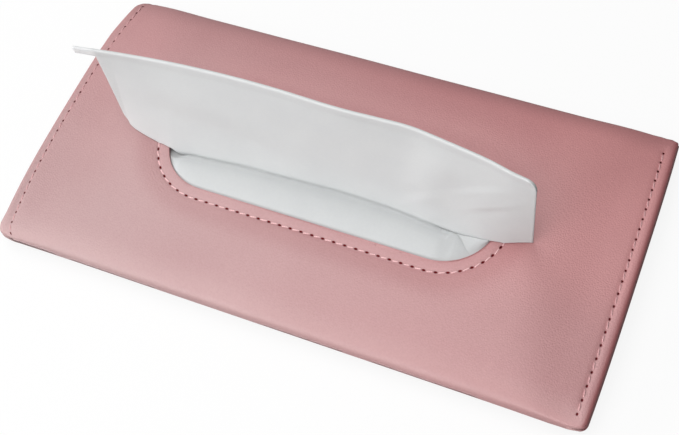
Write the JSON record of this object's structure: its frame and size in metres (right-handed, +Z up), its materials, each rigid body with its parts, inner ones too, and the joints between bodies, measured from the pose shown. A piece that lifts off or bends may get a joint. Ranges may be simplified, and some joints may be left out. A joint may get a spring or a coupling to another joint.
{
  "type": "car tissue holder",
  "caption": "Padded leather sleeve for a folded tissue pack, with a long rounded slot on top, a hinged refill flap and elastic visor straps on its back.",
  "frame": {"origin": "middle of the resting face: under the centre of the sleeve, at the underside of the two straps that it lies on", "axes": "+X along the sleeve to the end on the right of the picture, +Y from the near long fold to the far one, +Z up out of the slot"},
  "size_m": [0.23, 0.118, 0.055],
  "materials": {
    "leather": "satin",
    "foam": "matte",
    "board": "matte",
    "lining_cloth": "matte",
    "magnet": "satin",
    "elastic": "matte",
    "tissue": "matte"
  },
  "bodies": {
    "sleeve": {"outer_cover": "leather", "crown_foam": "foam", "slot_facing": "leather", "back_board": "board", "lining": "lining_cloth", "flap_hinge_margin": "leather", "back_magnet_left": "magnet", "back_magnet_right": "magnet", "strap_left": "elastic", "strap_right": "elastic", "strap_tab_left_near": "leather", "strap_tab_left_far": "leather", "strap_tab_right_near": "leather", "strap_tab_right_far": "leather", "tissue_pack": "tissue", "tissue_next": "tissue"},
    "flap": {"flap_cover": "leather", "flap_board": "board", "flap_lining": "lining_cloth", "flap_magnet_left": "magnet", "flap_magnet_right": "magnet"},
    "sheet": {"tissue_sheet": "tissue"}
  },
  "joints": [
    {"name": "flap_hinge", "type": "hinge", "parent": "sleeve", "child": "flap", "pos_m": [0, -0.044, 0.00005], "axis": [-1, 0, 0], "range_deg": [0, 150]},
    {"name": "sheet_pull", "type": "slide", "parent": "sleeve", "child": "sheet", "axis": [0, 0, 1], "range_m": [0, 0.12]}
  ]
}
